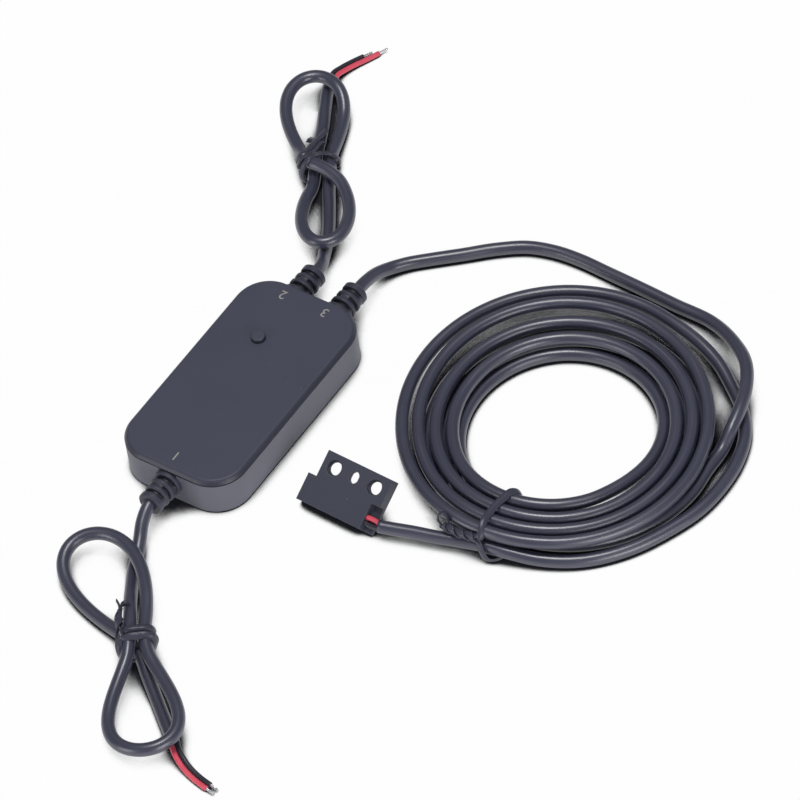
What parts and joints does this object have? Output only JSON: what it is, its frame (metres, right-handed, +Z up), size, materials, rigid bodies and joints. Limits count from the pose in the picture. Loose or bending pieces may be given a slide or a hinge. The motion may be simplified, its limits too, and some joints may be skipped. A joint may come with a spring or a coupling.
{
  "type": "garage door controller",
  "caption": "Small moulded controller case with a push button, tied wire leads with bare ends and a coiled cable to a flat door position sensor.",
  "frame": {"origin": "centre of the case underside", "axes": "+Z up out of the cover, +Y along the case towards its end with two cables, +X towards the coil and the sensor"},
  "size_m": [0.2017, 0.2702, 0.015],
  "materials": {
    "case_plastic": "fine moulded texture",
    "cover_plastic": "fine moulded texture",
    "button_plastic": "satin",
    "relief_rubber": "matt moulded",
    "cable_jacket": "satin PVC",
    "tie_plastic": "satin",
    "red_insulation": "satin",
    "black_insulation": "satin",
    "tinned_copper": "stranded, tinned",
    "sensor_plastic": "fine moulded texture",
    "potting": "satin",
    "reed_glass": "clear",
    "board": "solder mask",
    "radio_board": "solder mask",
    "screw_steel": "plated",
    "shield_metal": "tin plate",
    "capacitor_can": "bare",
    "black_epoxy": "moulded",
    "relay_plastic": "moulded",
    "terminal_plastic": "moulded"
  },
  "bodies": {
    "controller": {"base_tray": "case_plastic", "top_cover": "cover_plastic", "tact_switch": "black_epoxy", "main_board": "board", "board_screws": "screw_steel", "wire_terminals": "terminal_plastic", "signal_relay": "relay_plastic", "buck_inductor": "black_epoxy", "capacitors": "capacitor_can", "rectifier_diode": "black_epoxy", "regulator": "black_epoxy", "radio_module": "radio_board", "shield_can": "shield_metal", "inner_red_wires": "red_insulation", "inner_black_wires": "black_insulation", "dc_strain_relief": "relief_rubber", "push_button_strain_relief": "relief_rubber", "sensor_strain_relief": "relief_rubber", "dc_lead": "cable_jacket", "dc_hank": "cable_jacket", "dc_tie": "tie_plastic", "dc_red_wire": "red_insulation", "dc_black_wire": "black_insulation", "dc_bare_ends": "tinned_copper", "push_button_lead": "cable_jacket", "push_button_hank": "cable_jacket", "push_button_tie": "tie_plastic", "push_button_red_wire": "red_insulation", "push_button_black_wire": "black_insulation", "push_button_bare_ends": "tinned_copper", "sensor_lead": "cable_jacket", "sensor_coil": "cable_jacket", "coil_tie": "tie_plastic", "sensor_tail": "cable_jacket", "sensor_housing": "sensor_plastic", "sensor_back": "potting", "reed_switch": "reed_glass", "sensor_red_wire": "red_insulation", "sensor_black_wire": "black_insulation"},
    "button": {"button_cap": "button_plastic", "tact_plunger": "black_epoxy"}
  },
  "joints": [
    {"name": "button_press", "type": "slide", "parent": "controller", "child": "button", "axis": [0, 0, -1], "range_m": [0, 0.0004], "stiffness_N_per_m": 1500}
  ]
}
